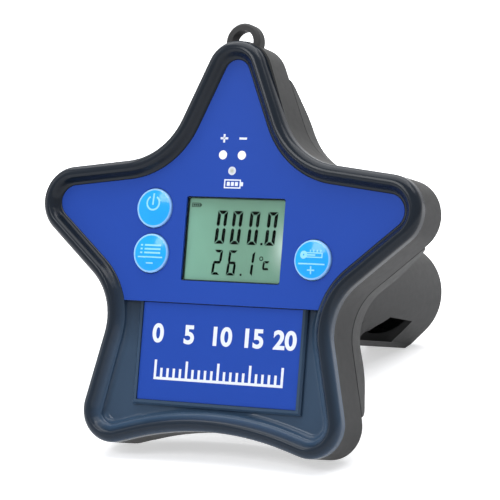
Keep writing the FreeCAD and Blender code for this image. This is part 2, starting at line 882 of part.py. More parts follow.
def electrode_bulkhead():
    back = bulkhead_start + bulkhead_thickness
    plate = disc(0, tube_axis, tube_bore - fit_gap / 2, bulkhead_start, back)
    probe_x, probe_z = around_tube(probe_offset, probe_angle)
    cuts = [disc(0, tube_axis, electrode_radius, bulkhead_start - spare, back + spare),
            disc(probe_x, probe_z, probe_radius, bulkhead_start - spare, back + spare)]
    groove_front = bulkhead_start + ring_section
    groove = disc(0, tube_axis, tube_bore + spare, groove_front, groove_front + ring_section)
    groove = groove.cut(disc(0, tube_axis, tube_bore - ring_section, bulkhead_start, back))
    return plate.cut(cuts + [groove])


def bulkhead_seal():
    front = bulkhead_start + ring_section
    back = front + ring_section
    ring = disc(0, tube_axis, tube_bore, front, back)
    return ring.cut(disc(0, tube_axis, tube_bore - ring_section, front - spare, back + spare))


def electrode_body():
    barrel = disc(0, tube_axis, electrode_radius, electrode_start, electrode_tip)
    flange = disc(0, tube_axis, electrode_radius + electrode_flange,
                  bulkhead_start - electrode_flange_thickness, bulkhead_start)
    return join([barrel, flange])


def membrane_cap():
    shell = disc(0, tube_axis, membrane_cap_radius, membrane_cap_start, membrane_cap_end)
    ribs = []
    for step in range(rib_count):
        x, z = around_tube(membrane_cap_radius, 360 * step / rib_count)
        ribs.append(disc(x, z, rib_radius, membrane_cap_start, membrane_cap_end - rib_end_gap))
    shell = join([shell] + ribs)
    hollow = disc(0, tube_axis, electrode_radius, membrane_cap_start - spare, electrode_tip)
    face = disc(0, tube_axis, membrane_radius, electrode_tip - spare, membrane_cap_end + spare)
    return shell.cut([hollow, face])


def membrane():
    back = membrane_cap_end - membrane_sink
    return disc(0, tube_axis, membrane_radius, electrode_tip, back)


def temperature_probe():
    x, z = around_tube(probe_offset, probe_angle)
    barrel = disc(x, z, probe_radius, probe_start, probe_tip)
    return barrel.makeChamfer(probe_tip_bevel, edges_at_depth(barrel, probe_tip))


def battery_cell():
    can = disc(0, tube_axis, cell_radius, cell_start, cell_start + cell_length)
    can = can.makeChamfer(cell_edge_bevel, edges_at_depth(can, cell_start + cell_length))
    button = disc(0, tube_axis, cell_cap_radius, cell_start - cell_cap_height, cell_start)
    return join([can, button])


def battery_sleeve():
    # Slides in through the neck, holds the cell in the middle and stands on the bulkhead
    outer_radius = cell_radius + fit_gap + sleeve_wall
    front = cell_start
    back = cell_start + cell_length
    shell = disc(0, tube_axis, outer_radius, front, back + sleeve_wall)
    fin_reach = neck_bore - fit_gap
    fins = []
    for step in range(sleeve_fin_count):
        fin = block(-sleeve_fin_width / 2, sleeve_fin_width / 2, outer_radius - sleeve_wall / 2, fin_reach,
                    cover_back - neck_length, bulkhead_start)
        fin.translate(Vector(0, 0, tube_axis))
        fin.rotate(point(0, tube_axis, 0), BACK, 360 * step / sleeve_fin_count)
        fins.append(fin)
    hollow = disc(0, tube_axis, cell_radius + fit_gap, front - spare, back)
    wire_hole = disc(0, tube_axis, cell_cap_radius, back - spare, back + sleeve_wall + spare)
    return join([shell] + fins).cut([hollow, wire_hole])


def build_pieces():
    pieces = {
        "front_bezel": front_bezel(),
        "main_panel": main_panel(),
        "name_plate": name_plate(),
        "lcd_lens": lcd_lens(),
        "lcd_glass": lcd_glass(),
        "lcd_holder": lcd_holder(),
        "backlight_panel": backlight_panel(),
        "contact_strips": contact_strips(),
        "key_switches": key_switches(),
        "charge_contacts": charge_contacts(),
        "charge_lamp": charge_lamp(),
        "main_board": main_board(),
        "board_screws": board_screws(),
        "controller_chip": controller_chip(),
        "board_parts": board_parts(),
        "front_seal": front_seal(),
        "mid_housing": mid_housing(),
        "cover_seal": cover_seal(),
        "rear_cover": rear_cover(),
        "cover_screws": cover_screws(),
        "sensor_guard": sensor_guard(),
        "guard_seal": guard_seal(),
        "guard_nut": guard_nut(),
        "guard_end_cap": guard_end_cap(),
        "electrode_bulkhead": electrode_bulkhead(),
        "bulkhead_seal": bulkhead_seal(),
        "electrode_body": electrode_body(),
        "membrane_cap": membrane_cap(),
        "oxygen_membrane": membrane(),
        "temperature_probe": temperature_probe(),
        "battery_cell": battery_cell(),
        "battery_sleeve": battery_sleeve(),
    }
    for name, (x, z) in button_places().items():
        pieces[name] = push_button(x, z)
    return pieces


def stand_up(pieces):
    # Leans the meter back onto the floor and puts the origin under its middle
    for shape in pieces.values():
        shape.rotate(Vector(0, 0, 0), Vector(1, 0, 0), -lean_angle())
    whole = Part.makeCompound(list(pieces.values()))
    box = whole.optimalBoundingBox(False, False)
    shift = Vector(-(box.XMin + box.XMax) / 2, -(box.YMin + box.YMax) / 2, -box.ZMin)
    for shape in pieces.values():
        shape.translate(shift)
    return shift


os.makedirs("parts", exist_ok=True)
all_pieces = build_pieces()
origin_shift = stand_up(all_pieces)
for piece_name, piece in all_pieces.items():
    piece.exportStep("parts/" + piece_name + ".step")
print("lean angle", round(lean_angle(), 3), "shift", [round(value, 3) for value in origin_shift])
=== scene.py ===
import bmesh
import bpy
import json
import math
from mathutils import Matrix, Vector


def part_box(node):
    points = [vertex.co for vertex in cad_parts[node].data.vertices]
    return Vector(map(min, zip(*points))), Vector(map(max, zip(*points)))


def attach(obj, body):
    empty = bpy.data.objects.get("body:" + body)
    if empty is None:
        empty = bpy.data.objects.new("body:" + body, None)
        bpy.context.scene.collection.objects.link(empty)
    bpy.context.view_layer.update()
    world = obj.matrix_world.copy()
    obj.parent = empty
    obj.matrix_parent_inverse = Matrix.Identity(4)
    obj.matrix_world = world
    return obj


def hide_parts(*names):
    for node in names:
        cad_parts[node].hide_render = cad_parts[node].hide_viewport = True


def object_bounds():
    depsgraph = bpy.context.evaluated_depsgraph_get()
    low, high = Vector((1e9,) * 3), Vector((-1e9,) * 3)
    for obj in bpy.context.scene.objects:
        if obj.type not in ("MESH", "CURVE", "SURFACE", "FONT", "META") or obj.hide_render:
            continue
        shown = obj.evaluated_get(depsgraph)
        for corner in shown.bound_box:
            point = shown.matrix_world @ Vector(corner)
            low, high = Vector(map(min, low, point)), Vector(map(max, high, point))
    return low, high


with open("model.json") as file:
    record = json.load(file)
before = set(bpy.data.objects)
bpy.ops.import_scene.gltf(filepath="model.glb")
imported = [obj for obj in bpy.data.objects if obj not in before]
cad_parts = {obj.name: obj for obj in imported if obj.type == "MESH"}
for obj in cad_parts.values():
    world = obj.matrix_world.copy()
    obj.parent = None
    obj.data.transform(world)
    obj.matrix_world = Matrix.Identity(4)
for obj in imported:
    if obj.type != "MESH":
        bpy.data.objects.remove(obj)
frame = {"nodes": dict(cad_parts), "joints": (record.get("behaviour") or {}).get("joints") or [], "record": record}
nodes = frame["nodes"]
cadBox = [list(corner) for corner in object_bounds()]
mm = 0.001
print("frame loaded:", len(nodes), "nodes")


# The face's own frame in mm: x to the right, depth straight into the face, up along the face

across = Vector((1, 0, 0))
intoFace = Vector(frame["joints"][0]["axis"]).normalized()
upFace = across.cross(intoFace)
lean = math.atan2(-intoFace.z, intoFace.y)

lensPlace = {"x": 3.3, "depth": 0.675, "up": 0.0}  # middle of the display window in the face's frame


def middleOf(node):
    low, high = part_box(node)
    return (low + high) / 2


def turned(x, depth, up):
    return (across * x + intoFace * depth + upFace * up) * mm


faceOrigin = middleOf("lcd_lens") - turned(lensPlace["x"], lensPlace["depth"], lensPlace["up"])
turn = Matrix((across, intoFace, upFace)).transposed().to_4x4()
faceToObject = Matrix.Translation(faceOrigin) @ turn @ Matrix.Scale(mm, 4)


def facePoint(x, depth, up):
    return faceToObject @ Vector((x, depth, up))


def frontDepth(nodeName):
    # Depth of a node's front below the panel's front
    depths = [intoFace.dot(vertex.co - faceOrigin) for vertex in nodes[nodeName].data.vertices]
    return min(depths) / mm


# x and up of the middle of each key's print
keyPlaces = {"power_button": (-28.8, 10.3), "mode_button": (-28.8, -5.9), "temp_button": (35.2, -5.9)}
print("face found, leaning back", round(math.degrees(lean), 1), "degrees")


# Helpers for materials

def shaderOf(material):
    return material.node_tree.nodes["Principled BSDF"]


def makeMaterial(name, colour, roughness, metallic=0.0, coat=0.0, coatRoughness=0.05, specular=0.5):
    material = bpy.data.materials.new(name)
    material.use_nodes = True
    shader = shaderOf(material)
    shader.inputs["Base Color"].default_value = (*colour, 1)
    shader.inputs["Roughness"].default_value = roughness
    shader.inputs["Metallic"].default_value = metallic
    shader.inputs["Coat Weight"].default_value = coat
    shader.inputs["Coat Roughness"].default_value = coatRoughness
    shader.inputs["Specular IOR Level"].default_value = specular
    return material


def addNode(material, kind, **inputs):
    node = material.node_tree.nodes.new("ShaderNode" + kind)
    for socket, value in inputs.items():
        node.inputs[socket].default_value = value
    return node


def link(material, output, target):
    material.node_tree.links.new(output, target)


def drive(material, socket, output):
    link(material, output, shaderOf(material).inputs[socket])


def objectCoordinates(material):
    return addNode(material, "TexCoord").outputs["Object"]


def faceCoordinates(material):
    # Object coordinates turned into the face's frame, in millimetres
    mapping = addNode(material, "Mapping")
    mapping.inputs["Scale"].default_value = (1 / mm, 1 / mm, 1 / mm)
    mapping.inputs["Rotation"].default_value = (lean, 0, 0)
    mapping.inputs["Location"].default_value = -(turn.to_3x3().transposed() @ faceOrigin) / mm
    link(material, objectCoordinates(material), mapping.inputs["Vector"])
    return mapping.outputs["Vector"]


def splitUp(material, vector):
    split = addNode(material, "SeparateXYZ")
    link(material, vector, split.inputs["Vector"])
    return split.outputs


def noise(material, scale, detail=2.0, roughness=0.5, vector=None):
    texture = addNode(material, "TexNoise", Scale=scale, Detail=detail, Roughness=roughness)
    link(material, vector or objectCoordinates(material), texture.inputs["Vector"])
    return texture.outputs["Fac"]


def spread(material, value, low, high, fromLow=0.35, fromHigh=0.65):
    # Maps a value from one span to another and holds it at the ends
    ranged = addNode(material, "MapRange")
    for socket, end in (("From Min", fromLow), ("From Max", fromHigh), ("To Min", low), ("To Max", high)):
        ranged.inputs[socket].default_value = end
    link(material, value, ranged.inputs["Value"])
    return ranged.outputs["Result"]


def calculate(material, operation, first, second=0.0):
    node = addNode(material, "Math")
    node.operation = operation
    for index, value in enumerate((first, second)):
        if isinstance(value, (int, float)):
            node.inputs[index].default_value = value
        else:
            link(material, value, node.inputs[index])
    return node.outputs["Value"]


def blendColours(material, factor, first, second):
    mix = addNode(material, "Mix")
    mix.data_type = "RGBA"
    link(material, factor, mix.inputs["Factor"])
    for index, value in ((6, first), (7, second)):  # the colour sockets A and B
        if isinstance(value, (tuple, list)):
            mix.inputs[index].default_value = (*value, 1)
        else:
            link(material, value, mix.inputs[index])
    return mix.outputs[2]


def distanceFrom(material, split, x, up, squeeze=1.0):
    # Distance in the face from a point, with the height squeezed for an oval
    sideways = calculate(material, "SUBTRACT", split["X"], x)
    upwards = calculate(material, "MULTIPLY", calculate(material, "SUBTRACT", split["Z"], up), squeeze)
    squares = calculate(material, "ADD", calculate(material, "MULTIPLY", sideways, sideways),
                        calculate(material, "MULTIPLY", upwards, upwards))
    return calculate(material, "SQRT", squares)


def addGrain(material, look):
    # Fine bumps all over, with their depth in metres
    bump = addNode(material, "Bump", Strength=look["bump"], Distance=look["depth"])
    link(material, noise(material, look["grain"]), bump.inputs["Height"])
    drive(material, "Normal", bump.outputs["Normal"])


# Plastics, rubber, film and inks

# What all of them share, unless their own look says otherwise
mouldLook = {"cloudScale": 30, "speckleShare": 0.6, "glossScale": 400, "coatRoughness": 0.08, "coat": 0.0,
             "specular": 0.5, "bump": 0.35}


def mouldedPlastic(name, ownLook):
    # A fine moulded grain, faint cloudiness and slightly uneven gloss
    look = {**mouldLook, **ownLook}
    material = makeMaterial(name, look["colour"], look["roughness"], coat=look["coat"],
                            coatRoughness=look["coatRoughness"], specular=look["specular"])
    cloud = spread(material, noise(material, look["cloudScale"], 3), 0, 1, 0.3, 0.7)
    speckle = spread(material, noise(material, look["grain"] * look["speckleShare"]), 0, 1, 0.25, 0.75)
    mottle = calculate(material, "MULTIPLY", calculate(material, "ADD", cloud, speckle), 0.5)
    drive(material, "Base Color", blendColours(material, mottle, look["colour"], look["shade"]))
    gloss = spread(material, noise(material, look["glossScale"], 4), look["roughness"] - look["uneven"],
                   look["roughness"] + look["uneven"])
    drive(material, "Roughness", gloss)
    addGrain(material, look)
    return material


plasticLooks = {
    "charcoal_plastic": {"colour": (0.056, 0.056, 0.056), "shade": (0.051, 0.051, 0.051), "roughness": 0.48,
                         "uneven": 0.03, "grain": 3200, "depth": 0.00003, "specular": 0.06},
    "black_plastic": {"colour": (0.018, 0.018, 0.019), "shade": (0.014, 0.014, 0.015), "roughness": 0.45,
                      "uneven": 0.06, "grain": 4000, "depth": 0.00003},
    "white_plastic": {"colour": (0.78, 0.78, 0.75), "shade": (0.74, 0.74, 0.71), "roughness": 0.45,
                      "uneven": 0.05, "grain": 3000, "depth": 0.00002},
    "seal_rubber": {"colour": (0.02, 0.02, 0.02), "shade": (0.026, 0.026, 0.026), "roughness": 0.7,
                    "uneven": 0.08, "grain": 2500, "depth": 0.00003},
    "chip_black": {"colour": (0.02, 0.02, 0.022), "shade": (0.03, 0.03, 0.032), "roughness": 0.5,
                   "uneven": 0.06, "grain": 6000, "depth": 0.00002},
    "cell_wrap": {"colour": (0.02, 0.1, 0.32), "shade": (0.018, 0.09, 0.28), "roughness": 0.3,
                  "uneven": 0.05, "grain": 1500, "depth": 0.00002, "coat": 0.4},
    "circuit_board": {"colour": (0.008, 0.09, 0.03), "shade": (0.012, 0.12, 0.045), "roughness": 0.35,
                      "uneven": 0.08, "grain": 1500, "depth": 0.00002, "coat": 0.3},
    "membrane": {"colour": (0.6, 0.6, 0.56), "shade": (0.52, 0.52, 0.48), "roughness": 0.25,
                 "uneven": 0.05, "grain": 2600, "depth": 0.00001},
    "blue_panel": {"colour": (0.012, 0.057, 0.355), "shade": (0.014, 0.062, 0.37), "roughness": 0.42,
                   "uneven": 0.03, "grain": 7000, "depth": 0.000006, "specular": 0.15},
    "white_ink": {"colour": (0.8, 0.84, 0.95), "shade": (0.76, 0.8, 0.92), "roughness": 0.45,
                  "uneven": 0.04, "grain": 5000, "depth": 0.000005, "specular": 0.2},
    "key_ink": {"colour": (0.3, 0.72, 1.0), "shade": (0.27, 0.68, 0.97), "roughness": 0.4,
                "uneven": 0.04, "grain": 5000, "depth": 0.000005, "specular": 0.2},
    "display_ink": {"colour": (0.001, 0.002, 0.0015), "shade": (0.0015, 0.003, 0.002), "roughness": 0.5,
                    "uneven": 0.04, "grain": 5000, "depth": 0.000005, "specular": 0.02},
}
plastics = {name: mouldedPlastic(name, look) for name, look in plasticLooks.items()}


# Bezel

# The bowl's paler blue colour in this look is painted light, not a second colour of the plastic
bezelLook = {"colour": (0.007, 0.0115, 0.019), "shade": (0.006, 0.0105, 0.0175), "roughness": 0.2,
             "uneven": 0.01, "grain": 2600, "depth": 0.000001, "specular": 0.17,
             "bowl": (0.037, 0.068, 0.116), "bowlTop": -12.0, "bowlBottom": -40.0,
             "crestDepth": -3.3, "bowlDepth": -0.6, "crestShare": 0.15}


def bezelPlastic(look):
    # Glossy navy, with painted light: paler and bluer down in the bowl between the lower lobes, most in its
    # deepest parts, as if lit and reflecting more there
    material = mouldedPlastic("navy_plastic", look)
    split = splitUp(material, faceCoordinates(material))
    # Painted light: a mask over the low bowl, stronger the deeper it lies, that lifts the navy towards the paler
    # blue
    lowDown = spread(material, split["Z"], 0, 1, look["bowlTop"], look["bowlBottom"])
    deepDown = spread(material, split["Y"], look["crestShare"], 1, look["crestDepth"], look["bowlDepth"])
    bowl = calculate(material, "MULTIPLY", lowDown, deepDown)
    plain = shaderOf(material).inputs["Base Color"].links[0].from_socket
    drive(material, "Base Color", blendColours(material, bowl, plain, look["bowl"]))
    return material


# Metals

metalLook = {"metallic": 1.0, "cloudScale": 12, "smoother": 0.08, "rougher": 0.1, "grain": 9000, "bump": 0.2,
             "depth": 0.00001}
steelLook = {**metalLook, "colour": (0.56, 0.56, 0.57), "roughness": 0.3}
contactLook = {**metalLook, "colour": (0.82, 0.8, 0.76), "roughness": 0.42, "metallic": 0.35,
               "pale": (0.86, 0.85, 0.83), "worn": (0.8, 0.74, 0.68), "wornScale": 700}


def plainMetal(name, look):
    # Metal with cloudy gloss and a fine grain
    material = makeMaterial(name, look["colour"], look["roughness"], metallic=look["metallic"])
    cloud = noise(material, look["cloudScale"], 4, 0.6, faceCoordinates(material))
    gloss = spread(material, cloud, look["roughness"] - look["smoother"], look["roughness"] + look["rougher"])
    drive(material, "Roughness", gloss)
    addGrain(material, look)
    return material


def contactMetal(look):
    # Nickel plated pins, pale with warmer worn patches
    material = plainMetal("nickel", look)
    worn = spread(material, noise(material, look["wornScale"], 3), 0, 1)
    drive(material, "Base Color", blendColours(material, worn, look["pale"], look["worn"]))
    return material


# Charge lamp

lampLook = {"place": (1.0, 24.3), "colour": (0.6, 0.63, 0.66), "roughness": 0.25, "coat": 0.5,
            "middle": (0.42, 0.44, 0.36), "rim": (0.66, 0.7, 0.78), "rimFrom": 0.2, "rimTo": 1.2,
            "grain": 2600, "bump": 0.2, "depth": 0.00003}


def lampLens(look):
    # Milky lens with a duller middle
    material = makeMaterial("lamp", look["colour"], look["roughness"], coat=look["coat"])
    split = splitUp(material, faceCoordinates(material))
    away = distanceFrom(material, split, *look["place"])
    rim = spread(material, away, 0, 1, look["rimFrom"], look["rimTo"])
    drive(material, "Base Color", blendColours(material, rim, look["middle"], look["rim"]))
    addGrain(material, look)
    return material


# Display cell and its window

# In this look the top colour is painted shade, the pale patch colour at the right a painted reflection, and the
# emission partly painted light
displayLook = {"left": (0.215, 0.41, 0.32), "middle": (0.175, 0.315, 0.24), "top": (0.15, 0.27, 0.2),
               "leftFrom": 4.0, "leftTo": -14.0, "topFrom": 8.0, "topTo": 15.5, "roughness": 0.4,
               "specular": 0.2, "rightSheen": (0.6, 0.72, 0.65), "sheenX": 22.6, "sheenUp": -2.0, "sheenSqueeze": 0.6,
               "sheenCore": 0.5, "sheenReach": 7.5, "cloudScale": 0.12, "cloud": 0.04, "backlightAndFill": 0.24,
               "grain": 5000, "bump": 0.05, "depth": 0.00001}


def displayCell(look):
    # Grey green cell, lighter towards its left, darker towards its top in painted shade, with a painted pale
    # reflection near its right edge
    material = makeMaterial("display", look["middle"], look["roughness"], specular=look["specular"])
    vector = faceCoordinates(material)
    split = splitUp(material, vector)
    leftwards = spread(material, split["X"], 0, 1, look["leftFrom"], look["leftTo"])
    colour = blendColours(material, leftwards, look["middle"], look["left"])
    # Painted shade: the cell darkens towards its top, as under the edge of the window's recess
    topShade = spread(material, split["Z"], 0, 1, look["topFrom"], look["topTo"])
    colour = blendColours(material, topShade, colour, look["top"])
    # Painted reflection: a pale oval patch near the right edge, standing in for light caught from the recess's
    # side
    away = distanceFrom(material, split, look["sheenX"], look["sheenUp"], look["sheenSqueeze"])
    near = spread(material, away, 1, 0, look["sheenCore"], look["sheenReach"])
    colour = blendColours(material, calculate(material, "MULTIPLY", near, near), colour, look["rightSheen"])
    cloud = spread(material, noise(material, look["cloudScale"], vector=vector), 1 - look["cloud"],
                   1 + look["cloud"], 0.3, 0.7)
    tint = addNode(material, "VectorMath")
    tint.operation = "SCALE"
    link(material, colour, tint.inputs[0])
    link(material, cloud, tint.inputs["Scale"])
    drive(material, "Base Color", tint.outputs["Vector"])
    # The cell's emission is partly a lit display and partly painted light, making up for the light the window
    # holds back from it
    drive(material, "Emission Color", tint.outputs["Vector"])
    shaderOf(material).inputs["Emission Strength"].default_value = look["backlightAndFill"]
    addGrain(material, look)
    return material


windowLook = {"polish": (0.9, 0.95, 0.92), "clear": (0.97, 0.99, 0.98), "roughness": 0.05, "ior": 1.12,
              "smearScale": 60, "smear": 0.1}


def clearWindow(look):
    # Clear sheet: see-through, with a polished face that reflects more at a slant
    material = makeMaterial("clear_lens", look["polish"], look["roughness"], metallic=1.0)
    clear = addNode(material, "BsdfTransparent")
    clear.inputs["Color"].default_value = (*look["clear"], 1)
    edge = addNode(material, "Fresnel", IOR=look["ior"])
    smear = spread(material, noise(material, look["smearScale"], 3), 1 - look["smear"], 1 + look["smear"])
    mix = addNode(material, "MixShader")
    link(material, calculate(material, "MULTIPLY", edge.outputs["Fac"], smear), mix.inputs["Fac"])
    link(material, clear.outputs["BSDF"], mix.inputs[1])
    link(material, shaderOf(material).outputs["BSDF"], mix.inputs[2])
    link(material, mix.outputs["Shader"], material.node_tree.nodes["Material Output"].inputs["Surface"])
    return material


# Keys

keyLook = {"colour": (0.007, 0.39, 1.0), "shade": (0.009, 0.37, 0.97), "mottleScale": 160, "roughness": 0.2,
           "coat": 0.4, "coatRoughness": 0.08, "specular": 0.1, "ring": (0.29, 0.58, 1.0), "ringFrom": 6.25,
           "ringTo": 6.4, "grain": 3000, "bump": 0.1, "depth": 0.00001}


def keyPlastic(nodeName, look):
    # Light blue cap with a pale printed ring along its rim
    material = makeMaterial("button_blue_" + nodeName, look["colour"], look["roughness"], coat=look["coat"],
                            coatRoughness=look["coatRoughness"], specular=look["specular"])
    split = splitUp(material, faceCoordinates(material))
    away = distanceFrom(material, split, *keyPlaces[nodeName])
    ring = spread(material, away, 0, 1, look["ringFrom"], look["ringTo"])
    mottle = spread(material, noise(material, look["mottleScale"]), 0, 1)
    body = blendColours(material, mottle, look["colour"], look["shade"])
    drive(material, "Base Color", blendColours(material, ring, body, look["ring"]))
    addGrain(material, look)
    return material


# Every node gets the finish of its slot, and each key a finish of its own

slotFinishes = {
    **plastics, "navy_plastic": bezelPlastic(bezelLook), "clear_lens": clearWindow(windowLook),
    "display": displayCell(displayLook), "nickel": contactMetal(contactLook),
    "steel": plainMetal("steel", steelLook), "lamp": lampLens(lampLook),
}
keyFinishes = {nodeName: keyPlastic(nodeName, keyLook) for nodeName in keyPlaces}
slotOf = {row["node"]: row["material_slot"] for row in frame["record"]["subparts"]}

for nodeName, node in nodes.items():
    node.data.materials.clear()
    node.data.materials.append(keyFinishes.get(nodeName) or slotFinishes[slotOf[nodeName]])
print("materials made")


# Merged, smoothly shaded copies stand for the curved CAD nodes

copyLook = {"weld": 0.002, "sharpAngle": 35}  # mm and degrees


def bodyOf(nodeName):
    return nodeName if nodeName in keyPlaces else "meter"


def smoothCopy(nodeName, pieceName, reshape=None, sharpAngle=copyLook["sharpAngle"]):
    node = nodes[nodeName]
    piece = bpy.data.objects.new(pieceName, node.data.copy())
    bpy.context.scene.collection.objects.link(piece)
    shape = bmesh.new()
    shape.from_mesh(piece.data)
    bmesh.ops.remove_doubles(shape, verts=shape.verts, dist=copyLook["weld"] * mm)
    if reshape:
        reshape(shape)
    for face in shape.faces:
        face.smooth = True
    for edge in shape.edges:
        if len(edge.link_faces) != 2 or edge.calc_face_angle(0) > math.radians(sharpAngle):
            edge.smooth = False
    shape.to_mesh(piece.data)
    shape.free()
    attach(piece, bodyOf(nodeName))
    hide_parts(nodeName)
    return piece


# The bezel's bead, in mm

beadLook = {"foot": 0.06, "join": 0.1, "height": 3.5, "width": 6.6, "outerRound": 3.0, "crest": 3.1,
            "lip": 0.0, "steps": 8}


def beadLines():
    # Inset and height of the lines along the bead: an outer round, a crest and a slope to the panel
    look = beadLook
    shoulder = look["height"] - look["outerRound"]
    lines = []
    for step in range(look["steps"] + 1):
        angle = math.pi / 2 * step / look["steps"]
        inset = look["outerRound"] * (1 - math.cos(angle))
        lines.append((inset, shoulder + look["outerRound"] * math.sin(angle)))
    run = look["width"] - look["crest"]
    for step in range(look["steps"]):
        share = step / look["steps"]
        fall = 0.5 - 0.5 * math.cos(math.pi * share)
        lines.append((look["crest"] + run * share, look["height"] - (look["height"] - look["lip"]) * fall))
    return lines


def loopsOf(edges):
    # Vertices of each closed loop in order, the longest loop first
    waiting = dict.fromkeys(edges)  # keeps their order, so that each run starts alike
    loops = []
    while waiting:
        loop = list(waiting.popitem()[0].verts)
        while loop[-1] is not loop[0]:
            nextEdge = next((near for near in loop[-1].link_edges if near in waiting), None)
            if nextEdge is None:
                break
            waiting.pop(nextEdge)
            loop.append(nextEdge.other_vert(loop[-1]))
        loops.append(loop[:-1])
    return sorted(loops, key=lambda loop: -sum((a.co - b.co).length for a, b in zip(loop, loop[1:])))


def inwardOf(loop):
    # The inward direction in the face at each vertex of a closed loop
    count = len(loop)
    area = 0.0
    ways = []
    for index, vertex in enumerate(loop):
        before = vertex.co - loop[index - 1].co
        after = loop[(index + 1) % count].co - vertex.co
        way = before.normalized() * after.length + after.normalized() * before.length
        ways.append(way.cross(intoFace).normalized())
        area += vertex.co.cross(loop[(index + 1) % count].co).dot(intoFace)
    side = -1 if area > 0 else 1
    return [way * side for way in ways]


def slopedBead(shape):
    # Cuts the bead off near its foot and raises it again in rings, with its own inner slope
    level = facePoint(0, -beadLook["foot"], 0)
    everything = list(shape.verts) + list(shape.edges) + list(shape.faces)
    bmesh.ops.bisect_plane(shape, geom=everything, plane_co=level, plane_no=intoFace, clear_inner=True)
    rim = [vertex for vertex in shape.verts if vertex.is_boundary]
    bmesh.ops.remove_doubles(shape, verts=rim, dist=beadLook["join"] * mm)
    outer, inner = loopsOf([edge for edge in shape.edges if edge.is_boundary])[:2]
    inward = inwardOf(outer)
    bases = [vertex.co.copy() for vertex in outer]
    ring = outer
    for inset, height in beadLines():
        rise = intoFace * (beadLook["foot"] - height) * mm
        nextRing = [shape.verts.new(base + way * inset * mm + rise) for base, way in zip(bases, inward)]
        for index in range(len(ring)):
            shape.faces.new((ring[index - 1], ring[index], nextRing[index], nextRing[index - 1]))
        ring = nextRing
    last = [shape.edges.get((ring[index - 1], ring[index])) for index in range(len(ring))]
    first = [shape.edges.get((inner[index - 1], inner[index])) for index in range(len(inner))]
    bmesh.ops.bridge_loops(shape, edges=last + first)
    bmesh.ops.recalc_face_normals(shape, faces=shape.faces)


# The rear cover's dome, in mm from its middle

domeLook = {"middleUp": -9.5, "seam": 16.5, "clear": 1.0, "inner": 44.0, "full": 58.0, "outer": 70.0,
            "gain": 0.42}


def fullerDome(shape):
    # The back keeps its depth further out before it rounds off
    objectToFace = faceToObject.inverted()
    for vertex in shape.verts:
        x, depth, up = objectToFace @ vertex.co
        reach = math.hypot(x, up - domeLook["middleUp"])
        behind = depth - domeLook["seam"]
        if behind < domeLook["clear"] or not domeLook["inner"] < reach < domeLook["outer"]:
            continue
        if reach < domeLook["full"]:
            share = (reach - domeLook["inner"]) / (domeLook["full"] - domeLook["inner"])
        else:
            share = (domeLook["outer"] - reach) / (domeLook["outer"] - domeLook["full"])
        swell = domeLook["gain"] * (0.5 - 0.5 * math.cos(math.pi * share))
        vertex.co = facePoint(x, depth + behind * swell, up)


smoothNodes = {
    "front_bezel": ("bezelShell", slopedBead), "mid_housing": ("housingShell", None),
    "rear_cover": ("rearShell", fullerDome), "sensor_guard": ("sensorTube", None),
    "guard_end_cap": ("tubeEnd", None),
}
for nodeName, (pieceName, reshape) in smoothNodes.items():
    smoothCopy(nodeName, pieceName, reshape)


# The keys' rims and domed tops, in mm

rimLook = {"chamfer": 0.6, "round": 0.24, "segments": 3, "flat": 0.3, "dome": 0.6, "domeReach": 6.2,
           "domeRings": 8, "topLayer": 0.05, "skinLayer": 0.1, "flatAngle": 1, "edgeAngle": 30,
           "sharpAngle": 50}


def frontOf(shape):
    return min(intoFace.dot(vertex.co) for vertex in shape.verts)


def domeOver(shape, nodeName):
    # Lifts what lies on the key's front into a shallow dome
    keyX, keyUp = keyPlaces[nodeName]
    middle = facePoint(keyX, 0, keyUp)
    skin = frontOf(shape) + rimLook["skinLayer"] * mm
    for vertex in shape.verts:
        away = vertex.co - middle
        away -= intoFace * away.dot(intoFace)
        share = away.length / (rimLook["domeReach"] * mm)
        if share < 1 and intoFace.dot(vertex.co) < skin:
            vertex.co -= intoFace * rimLook["dome"] * (1 - share * share) * mm


def roundedKey(nodeName):
    # The chamfer round the key's front becomes a soft round, and its top a shallow dome
    piece = smoothCopy(nodeName, nodeName.replace("_button", "Key"), sharpAngle=rimLook["sharpAngle"])
    shape = bmesh.new()
    shape.from_mesh(piece.data)
    bmesh.ops.dissolve_limit(shape, angle_limit=math.radians(rimLook["flatAngle"]), verts=shape.verts,
                             edges=shape.edges)
    front = frontOf(shape)
    deepest = front + rimLook["chamfer"] * mm
    rim = [edge for edge in shape.edges
           if edge.calc_face_angle(0) > math.radians(rimLook["edgeAngle"])
           and all(intoFace.dot(vertex.co) < deepest for vertex in edge.verts)]
    bmesh.ops.bevel(shape, geom=rim, offset=rimLook["round"] * mm, affect="EDGES",
                    segments=rimLook["segments"], profile=0.5, material=-1, clamp_overlap=True)
    level = front + rimLook["topLayer"] * mm
    top = [face for face in shape.faces
           if face.normal.dot(intoFace) < -0.999 and intoFace.dot(face.verts[0].co) < level]
    bmesh.ops.inset_region(shape, faces=top, thickness=rimLook["flat"] * mm)
    ringWidth = rimLook["domeReach"] / (rimLook["domeRings"] + 1)
    for step in range(rimLook["domeRings"]):
        bmesh.ops.inset_region(shape, faces=top, thickness=ringWidth * mm)
    domeOver(shape, nodeName)
    for face in shape.faces:
        face.smooth = True
    shape.to_mesh(piece.data)
    shape.free()


for nodeName in keyPlaces:
    roundedKey(nodeName)
print("shells smoothed")


# Thin printed shapes, drawn in the face's frame and then put in place

# In mm. The gap parts bars that would share an edge
inkLook = {"thickness": 0.04, "gap": 0.02, "weld": 0.0005}


